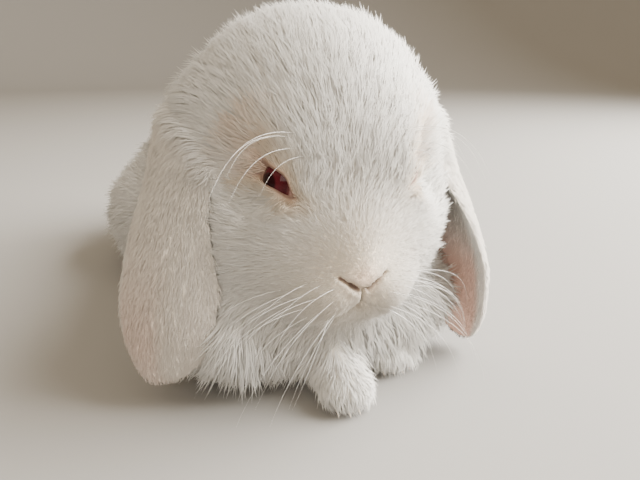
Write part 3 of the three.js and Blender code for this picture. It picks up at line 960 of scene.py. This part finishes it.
def unwrapped(places):
    """Roots laid flat as on a globe about their own middle, between 0.01 and 0.99."""
    low, high = places.min(axis=0), places.max(axis=0)
    away = (places - (low + high) / 2) / np.maximum(high - low, 1)
    globe = np.stack([np.arctan2(away[:, 0], -away[:, 1]), unit(away)[:, 2]], axis=1)
    low, high = globe.min(axis=0), globe.max(axis=0)
    return 0.01 + 0.98 * (globe - low) / np.maximum(high - low, 1e-6)


def make_coat_piece(name, roots, material):
    points, faces, marks, places, facing = lock_arrays(roots)
    mesh = make_mesh(name, points, faces)
    set_normals(mesh, facing)
    set_marks(mesh, marks)
    write(mesh.uv_layers.new(name="OFBake").data, "uv", places[faces.ravel()])
    make_piece(name, mesh, material)


# How far over the skin, in mm, the line starts that looks for skin in a lock's way.
CLEAR_START = 0.6


def cleared(roots, net):
    """Shortens and flattens the locks that would run into skin that faces them."""
    tree = face_tree(net.points, net.faces)
    chord = centre_line(roots, [0.0, 1.0])
    start = roots.place + roots.normal * CLEAR_START
    along = chord[:, 1] - start
    reach = np.linalg.norm(along, axis=1)
    along = unit(along)
    for i in range(roots.count):
        hit = tree.ray_cast(Vector(start[i]), Vector(along[i]), reach[i])[3]
        if hit is not None:
            roots.length[i] *= max(0.25, 0.75 * hit / reach[i])
            roots.end[i] *= 0.5
            roots.rise[i] *= 0.7
    return roots


def make_coat(net, share, pressed, marks, material, ear_material):
    """All the coat's pieces, each under its limit of triangles, from the nose to the tail."""
    fields = {key: coat_field(net, share, key) for key in MEASURES[1:]}
    fields.update(lie=lie_of_coat(net, share), marks=marks, share=share)
    thin_out(net, share, pressed, fields)
    roots = cleared(clumped(Roots(net, fields)), net)
    ear = roots.share[:, EAR] > 0.5
    short = roots.length < SHORT_LOCK
    makes = [
        ("coat_ear", ear, ear_material, "ear"),
        ("coat_short", ~ear & short, material, "coat"),
        ("coat_long", ~ear & ~short, material, "coat"),
    ]
    for name, chosen, finish, slot in makes:
        part = roots.pick(chosen)
        part = part.pick(np.argsort(part.place[:, 1], kind="stable"))
        pieces = -(-part.count // (PIECE_TRIANGLES // len(lock_faces())))
        for k in range(pieces):
            chunk = np.arange(k * part.count // pieces, (k + 1) * part.count // pieces)
            make_coat_piece("%s_%d" % (name, k + 1), part.pick(chunk), finish)


def ear_distance(net, share):
    """How far each point of the skin is from the nearest ear."""
    tree = point_tree(net.points[share[:, EAR] > 0.6])
    return np.array([tree.find(Vector(p))[2] for p in net.points])


# How hanging ear tips, the ears' roots and the fur beside the ears change the locks' length and
# density, as shares of themselves, and where in mm.
HANGING, RISING, BESIDE_REACH = 22, (66, 92), 7
EAR_TIP = float(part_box("ear_right")[0].z) / MM
EAR_ROOT_FUR = 2.0
# Round the eyes: how far from them, the opening without locks, and how short the locks start.
EYE_FUR_REACH, BARE_LIDS, LID_FUR, LID_FUR_GAIN = 1.9, 1.2, 2.3, 5.0
BARE_NOSTRIL = 0.35


def change(fields, where, length=0, density=0):
    """Changes the locks' length and density by a share of themselves, where a mark is 1."""
    fields["length"] = fields["length"] * (1 + length * where)
    fields["density"] = fields["density"] * (1 + density * where)


def thin_out(net, share, pressed, fields):
    """No locks in the eyes' openings and nostrils, and few and short ones inside the ears."""
    ear, height = share[:, EAR], net.points[:, 2]
    change(fields, ear_inside(net, share), length=-0.5, density=-0.45)
    change(fields, ear * (1 - step(height, EAR_TIP, EAR_TIP + HANGING)), length=-0.55)
    rising = ear * step(height, *RISING)
    fields["length"] = fields["length"] + EAR_ROOT_FUR * rising
    change(fields, rising, density=0.4)
    beside = bell(ear_distance(net, share), BESIDE_REACH) * (1 - ear)
    change(fields, beside, length=-0.3, density=0.3)
    for side in SIDES:
        place = lid_place(net.points, side)[0]
        near = np.linalg.norm(net.points - EYE[side], axis=1) < EYE_FUR_REACH * EYE_RADIUS
        fields["density"] = np.where(near & (place < BARE_LIDS), 0, fields["density"])
        short = LID_FUR + LID_FUR_GAIN * np.maximum(place - 1.1, 0)
        fields["length"] = np.where(near, np.minimum(fields["length"], short), fields["length"])
    fields["density"] = fields["density"] * (pressed < BARE_NOSTRIL)


# -------- materials


class Nodes:
    """A material's node tree, with short ways to add nodes and link them."""

    def __init__(self, name):
        self.material = bpy.data.materials.new(name)
        self.material.use_nodes = True
        self.tree = self.material.node_tree
        self.tree.nodes.clear()

    def add(self, kind, **settings):
        node = self.tree.nodes.new("ShaderNode" + kind)
        for key, value in settings.items():
            setattr(node, key, value)
        return node

    def link(self, source, target):
        self.tree.links.new(source, target)

    def put(self, value, socket):
        """Links a socket, or writes a plain value on the shader's own socket."""
        if isinstance(value, bpy.types.NodeSocket):
            self.link(value, socket)
        else:
            socket.default_value = value

    def marks(self):
        """The four numbers that set_marks() wrote: three as red, green and blue, then alpha."""
        marks, split = self.add("Attribute", attribute_name="marks"), self.add("SeparateColor")
        self.link(marks.outputs["Color"], split.inputs["Color"])
        return [*split.outputs, marks.outputs["Alpha"]]

    def mix(self, factor, a, b, blend="MIX"):
        """A colour mix; a, b and factor are sockets or values."""
        node = self.add("Mix", data_type="RGBA", blend_type=blend)
        for k, value in ((0, factor), (6, a), (7, b)):
            self.put(value, node.inputs[k])
        return node.outputs[2]

    def math(self, operation, a, b):
        node = self.add("Math", operation=operation)
        for k, value in enumerate((a, b)):
            self.put(value, node.inputs[k])
        return node.outputs[0]

    def principled(self, colour, **values):
        shader = self.add("BsdfPrincipled")
        self.put(colour, shader.inputs["Base Color"])
        for key, value in values.items():
            self.put(value, shader.inputs[key.replace("_", " ")])
        return shader

    def finish(self, shader):
        self.link(shader, self.add("OutputMaterial").inputs["Surface"])
        return self.material


def rgb(r, g, b):
    return (r, g, b, 1.0)


WHITE = rgb(0.96, 0.94, 0.90)
# White in shade: painted shade at the locks' roots and on the skin under the fur, and the deeper end
# of the clumps' random tone.
SHADED = rgb(0.90, 0.87, 0.81)
# The muzzle's own cream, and the colour of painted warm shade on the muzzle, round the eyes and on
# the ears.
BEIGE = rgb(0.78, 0.66, 0.52)
PINK = rgb(0.93, 0.50, 0.37)
# Painted shade on the skin, as it lies under the fur.
FUR_SHADE_COLOUR = rgb(0.86, 0.82, 0.76)
# Painted shade in the nostrils, the philtrum's cleft and along the lids' edges.
PAINTED_SHADE_COLOUR = rgb(0.10, 0.05, 0.045)
# How strongly the pink, the painted shade under the fur, and the painted shade in the nostrils and
# along the lids are laid on.
PINK_STRENGTH, FUR_SHADE_STRENGTH, NOSTRIL_AND_LID_SHADE_STRENGTH = 0.85, 1.3, 0.9
# How much light the fur lets through, and how much painted shade darkens the roots of its locks and
# of the ears' locks.
FUR_THROUGH, FUR_ROOT_SHADE, EAR_ROOT_SHADE = 0.35, 0.12, 0.1
GRAIN_SCALE, GRAIN_STRENGTH, GRAIN_DEPTH = 1600, 0.35, 0.0004


def coat_colour(nodes, marks, root_shade=0):
    """The coat's and skin's shared markings: white, beige (partly painted shade), pink on bare skin,
    and painted root shade.
    """
    pink, beige, shade, height = marks
    # On the coat, the clumps' random tone; on the skin, painted shade as under the fur.
    colour = nodes.mix(shade, WHITE, SHADED)
    colour = nodes.mix(beige, colour, BEIGE)
    colour = nodes.mix(nodes.math("MULTIPLY", pink, PINK_STRENGTH), colour, PINK)
    # Painted shade towards each lock's root, deep in the coat.
    if root_shade:
        low = nodes.math("SUBTRACT", 1.0, height)
        colour = nodes.mix(nodes.math("MULTIPLY", low, root_shade), colour, SHADED)
    return colour


def coat_material(name, root_shade):
    """Soft fur that lets some light through."""
    nodes = Nodes(name)
    colour = coat_colour(nodes, nodes.marks(), root_shade)
    fur = nodes.principled(colour, Roughness=0.62, Sheen_Weight=0.25, Specular_IOR_Level=0.25)
    glow, both = nodes.add("BsdfTranslucent"), nodes.add("MixShader")
    nodes.link(colour, glow.inputs["Color"])
    for k, value in enumerate((FUR_THROUGH, fur.outputs[0], glow.outputs[0])):
        nodes.put(value, both.inputs[k])
    return nodes.finish(both.outputs[0])


def skin_material():
    """The coat's colours over bare skin, darkened by painted shade as under the fur, with painted
    shade in the nostrils and along the lids, and a fine grain.
    """
    nodes = Nodes("skin")
    marks = nodes.marks()
    # Painted shade on the skin under the fur.
    fur_shade_amount = nodes.math("MULTIPLY", marks[2], FUR_SHADE_STRENGTH)
    colour = nodes.mix(fur_shade_amount, coat_colour(nodes, marks), FUR_SHADE_COLOUR, "MULTIPLY")
    # Painted shade in the nostrils, the philtrum's cleft and along the lids' edges.
    colour = nodes.mix(nodes.math("MULTIPLY", marks[3], NOSTRIL_AND_LID_SHADE_STRENGTH), colour, PAINTED_SHADE_COLOUR)
    skin = nodes.principled(colour, Roughness=0.6, Specular_IOR_Level=0.3)
    place, grain, bump = nodes.add("TexCoord"), nodes.add("TexNoise"), nodes.add("Bump")
    nodes.put(place.outputs["Object"], grain.inputs["Vector"])
    nodes.put(GRAIN_SCALE, grain.inputs["Scale"])
    nodes.put(GRAIN_STRENGTH, bump.inputs["Strength"])
    nodes.put(GRAIN_DEPTH, bump.inputs["Distance"])
    nodes.put(grain.outputs[0], bump.inputs["Height"])
    nodes.put(bump.outputs[0], skin.inputs["Normal"])
    return nodes.finish(skin.outputs[0])


# The eye's colours from the middle of the pupil to the white: places from 0 to 1.
EYE_STOPS = [
    (0.0, rgb(0.012, 0.002, 0.003)),
    (0.34, rgb(0.016, 0.002, 0.003)),
    (0.42, rgb(0.075, 0.008, 0.013)),
    (0.80, rgb(0.045, 0.005, 0.008)),
    (0.92, rgb(0.10, 0.03, 0.03)),
    (1.0, rgb(0.35, 0.22, 0.19)),
]


def eye_material():
    """A wet ruby eye: near-black pupil, deep red iris, and a paler rim."""
    nodes = Nodes("eye")
    ramp = nodes.add("ValToRGB")
    nodes.link(nodes.marks()[3], ramp.inputs[0])
    elements = ramp.color_ramp.elements
    elements.remove(elements[1])
    for k, (place, colour) in enumerate(EYE_STOPS):
        element = elements[0] if k == 0 else elements.new(place)
        element.position, element.color = place, colour
    eye = nodes.principled(ramp.outputs[0], Roughness=0.08, Specular_IOR_Level=0.12)
    return nodes.finish(eye.outputs[0])


def plain_material(name, colour, **values):
    nodes = Nodes(name)
    return nodes.finish(nodes.principled(colour, **values).outputs[0])


# -------- eyes

# The rows of the ball's net, in degrees from the middle of the cornea, and the points of a row.
EYE_ROWS = np.concatenate([np.linspace(2, 66, 33), np.linspace(70, 178, 28)])
EYE_TURNS = 48
# The cornea's rim in degrees and its height in mm, the gap under the lids, and where the eye's
# colours end: at 0.9 on the iris's edge.
CORNEA_RIM, CORNEA_BULGE, LID_GAP = 50, 0.55, 0.05
IRIS_EDGE, IRIS_MARK = 52.0, 0.9


def make_eye(side, material):
    """A smooth ball with a clear bulge, its rings counted from the middle of the cornea."""
    axis, corner, brow = eye_frame(side)
    angle = np.radians(EYE_ROWS)[:, None, None]
    bulge = np.cos(np.minimum(angle * 90 / CORNEA_RIM, math.pi / 2)) ** 2
    radius = EYE_RADIUS - LID_GAP + CORNEA_BULGE * bulge
    ring = circle(np.linspace(0, 2 * math.pi, EYE_TURNS, endpoint=False), corner, brow)
    points = radius * (axis * np.cos(angle) + ring * np.sin(angle))
    quads = ring_quads(len(EYE_ROWS), EYE_TURNS)
    if np.cross(corner, brow) @ axis < 0:
        quads = quads[:, ::-1]
    poles = np.stack([axis * radius[0, 0, 0], -axis * radius[-1, 0, 0]])
    first, row = points[..., 0].size, np.arange(EYE_TURNS)
    caps = fan(first, row), fan(first + 1, row + first - EYE_TURNS)[:, [0, 2, 1]]
    points = np.concatenate([points.reshape(-1, 3), poles]) + EYE[side]
    mesh = make_mesh("eye_" + side, points, np.concatenate([halves(quads)[:, ::-1], *caps]))
    out = np.append(np.repeat(EYE_ROWS, EYE_TURNS), [0, 180]) / IRIS_EDGE * IRIS_MARK
    set_marks(mesh, np.stack([out * 0, out * 0, out * 0, np.clip(out, 0, 1)], axis=1))
    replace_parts(make_piece("eyeball_" + side, mesh, material), "eye_" + side)


# -------- whiskers and claws

# Any direction that no whisker or claw follows, for the tubes' sides.
TUBE_SIDE = np.array([0.31, 0.17, 0.93])
WHISKER_POINTS, WHISKER_SUNK, WHISKER_RADIUS, BROW_RADIUS = 15, 1.5, 0.065, 0.08


def tube(line, radii, sides=4):
    """Points and triangles of a closed tube along a line that ends in a point."""
    along = unit(np.gradient(line, axis=0))
    across = unit(np.cross(along, TUBE_SIDE))
    turns = np.linspace(0, 2 * math.pi, sides, endpoint=False)
    ring = circle(turns, across[:, None], np.cross(along, across)[:, None])
    points = (line[:, None] + ring * np.array(radii)[:, None, None]).reshape(-1, 3)
    top = (len(line) - 1) * sides
    ends = [(0, k + 1, k) for k in range(1, sides - 1)]
    ends += [(top, top + k, top + k + 1) for k in range(1, sides - 1)]
    return points, np.concatenate([halves(ring_quads(len(line), sides)), np.array(ends)])


def gather_tubes(name, tubes, material):
    nets = joined([Net(*tube) for tube in tubes])
    make_piece(name, make_mesh(name, nets.points, nets.faces), material)


def whisker(root, way, droop, length, radius):
    """A hair that leaves the skin along way and bends towards droop."""
    t = np.linspace(0, 1, WHISKER_POINTS)
    bend = unit(way) * (1 - t[:, None]) ** 1.3
    bend = unit(bend + unit(droop) * t[:, None] ** 1.2)
    stride = length / len(t)
    line = root + np.cumsum(bend, axis=0) * length / len(t) - bend[0] * (WHISKER_SUNK + stride)
    return tube(line, radius * (1 - 0.88 * t**1.4))


# Rows of the whisker pad: mm beside and above the nose, how many, and the longest hair.
PAD_ROWS = [(8.0, -3.0, 3, 40), (8.5, -6.0, 5, 52), (8.0, -9.0, 5, 54), (7.0, -11.5, 3, 42)]
# From one hair of a row to the next, in mm aside, up and back.
ROW_STEP = (3.0, 0.5, 2.0)
SHORTEST = 0.72
# The brow: mm to the side, forward and up from between the eyes, and each hair's length.
BROW = [(15, 10, 15, 42), (16, 6, 13, 38), (15.5, 8, 10.5, 34), (17, 1, 12, 26), (14, 12, 9, 24)]


def make_whiskers(net, material):
    tree, tubes = face_tree(net.points, net.faces), []
    aside, rise, back = ROW_STEP
    for turn in SIDES.values():
        for across, height, count, longest in PAD_ROWS:
            for k in range(count):
                guess = NOSE + LEFT * turn * (across + k * aside) + UP * (height + k * rise)
                guess = guess - FORWARD * (k * back)
                way = LEFT * turn * (0.75 + 0.1 * k) + FORWARD * (0.36 - 0.13 * k)
                way = way + UP * (0.05 + height * 0.035) + random.normal(0, 0.16, 3)
                droop = LEFT * turn * 0.55 - UP * (1.0 - 0.05 * height) - FORWARD * (0.1 + 0.15 * k)
                length = longest * random.uniform(SHORTEST, 1.0)
                root = np.array(tree.find_nearest(Vector(guess))[0])
                tubes.append(whisker(root, way, droop, length, WHISKER_RADIUS))
        for across, forward, height, length in BROW:
            guess = head_place(turn * across, forward, height)
            way = LEFT * turn * 0.9 + FORWARD * 0.25 + UP * 0.3
            droop = LEFT * turn * 0.5 + FORWARD * 0.1 - UP * 1.0
            way = way + random.normal(0, 0.05, 3)
            root = np.array(tree.find_nearest(Vector(guess))[0])
            tubes.append(whisker(root, way, droop, length, BROW_RADIUS))
    gather_tubes("whiskers", tubes, material)


# Claws, in mm: their length and radius, the width that four take at most and their share of it,
# the height of their roots, and how far these lie behind the foot's front.
CLAWS, CLAW_LENGTH, CLAW_RADIUS = 4, 5.0, 0.8
CLAW_SPREAD, CLAW_SHARE = 15.0, 0.62
CLAW_HEIGHT, CLAW_BACK = 3.6, 5.4


def make_claws(material):
    """Four small claws at the front of each foot, mostly hidden by its fur."""
    t = np.linspace(0, 1, 9)
    for name in nodes_named("foreleg", "hind_foot"):
        low, high = (np.array(corner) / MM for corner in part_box(name))
        middle, wide = (low[0] + high[0]) / 2, min(high[0] - low[0], CLAW_SPREAD)
        tubes = []
        for k in range(CLAWS):
            aside = k - (CLAWS - 1) / 2
            x = middle + aside / 3 * wide * CLAW_SHARE + aside * 0.5 * t
            y = low[1] + CLAW_BACK + 1.4 * abs(aside) - CLAW_LENGTH * t
            line = np.stack([x, y, CLAW_HEIGHT - 0.8 * t - 1.9 * t**2], axis=1)
            tubes.append(tube(line, CLAW_RADIUS * (1 - 0.93 * t**1.5), 8))
        gather_tubes("claws_" + name, tubes, material)


# -------- stage, light and camera

FLOOR_RADIUS, WALL_BEND, WALL_HEIGHT, FLOOR_SIDES = 1500, 700, 1500, 96
FLOOR_COLOUR = rgb(0.27, 0.262, 0.25)
# Each light's place in m, power in W, size in m and colour.
LIGHTS = {
    "key": ((0.75, -0.22, 0.55), 80.0, 1.0, (1.0, 0.97, 0.91)),
    "fill": ((-0.5, -0.9, 0.5), 5.0, 0.5, (1.0, 0.93, 0.82)),
}
LIGHT_TARGET = Vector((0, -0.06, 0.06))
WORLD_COLOUR, WORLD_STRENGTH = rgb(1.0, 0.82, 0.59), 1.3
CAMERA_FROM_NOSE = np.array([-73.3, -142.5, 64.5])
CAMERA_TURN, CAMERA_DOWN = -23.0, 18.6
LENS, SENSOR = 32.34, 36.0


def make_floor():
    """A plain round floor that curves up into a low wall, far from the animal."""
    bend = np.linspace(0, math.pi / 2, 13)
    out = np.concatenate([[10], FLOOR_RADIUS + WALL_BEND * np.sin(bend), [FLOOR_RADIUS + WALL_BEND]])
    high = np.concatenate([[0], WALL_BEND * (1 - np.cos(bend)), [WALL_HEIGHT]])
    turns = np.linspace(0, 2 * math.pi, FLOOR_SIDES, endpoint=False)
    flat = circle(turns, np.array([1.0, 0, 0]), np.array([0, 1.0, 0]))
    points = (flat * out[:, None, None] + UP * high[:, None, None]).reshape(-1, 3)
    sides = halves(ring_quads(len(out), FLOOR_SIDES))[:, ::-1]
    middle = fan(len(points), np.arange(FLOOR_SIDES))
    mesh = make_mesh("floor", np.vstack([points, [0, 0, 0]]), np.vstack([sides, middle]))
    mesh.materials.append(plain_material("floor", FLOOR_COLOUR, Roughness=0.9))
    add_object("floor", mesh)


def make_lights():
    for name, (place, power, size, colour) in LIGHTS.items():
        data = bpy.data.lights.new(name, "AREA")
        data.energy, data.size, data.color = power, size, colour
        light = add_object(name, data)
        light.location = Vector(place)
        light.rotation_euler = (LIGHT_TARGET - light.location).to_track_quat("-Z", "Y").to_euler()
    world = bpy.data.worlds.new("studio")
    world.use_nodes = True
    back = world.node_tree.nodes["Background"]
    back.inputs["Color"].default_value = WORLD_COLOUR
    back.inputs["Strength"].default_value = WORLD_STRENGTH
    bpy.context.scene.world = world


def make_camera():
    data = bpy.data.cameras.new("camera")
    data.lens, data.sensor_width, data.clip_start = LENS, SENSOR, 0.005
    camera = add_object("camera", data)
    camera.location = Vector((NOSE + CAMERA_FROM_NOSE) * MM)
    camera.rotation_euler = (math.radians(90 - CAMERA_DOWN), 0, math.radians(CAMERA_TURN))
    bpy.context.scene.camera = camera


# -------- the rabbit

# How much painted shade darkens the skin as it lies under the fur; much less on the ears.
SKIN_SHADE = 0.6


def make_skin(net, share, marks):
    """The one skin that stands for all the flesh. Its blue mark is how much painted shade it has, as
    under the fur.
    """
    mesh = make_mesh("skin", net.points, net.faces)
    fur_shade_share = SKIN_SHADE * (1 - 0.85 * share[:, EAR])
    set_marks(mesh, np.stack([marks[:, 0], marks[:, 1], fur_shade_share, marks[:, 2]], axis=1))
    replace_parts(make_piece("skin", mesh, skin_material()), *FLESH)


def make_rabbit():
    net, share, pressed = make_skin_net()
    marks = markings(net, share, pressed)
    make_skin(net, share, marks)
    eye = eye_material()
    for side in SIDES:
        make_eye(side, eye)
    fur, ear_fur = coat_material("coat", FUR_ROOT_SHADE), coat_material("ear_coat", EAR_ROOT_SHADE)
    make_coat(net, share, pressed, marks, fur, ear_fur)
    make_whiskers(net, plain_material("whisker", rgb(0.93, 0.91, 0.88), Roughness=0.4))
    make_claws(plain_material("claw", rgb(0.78, 0.68, 0.58), Roughness=0.4))


make_camera()
make_floor()
make_lights()
make_rabbit()
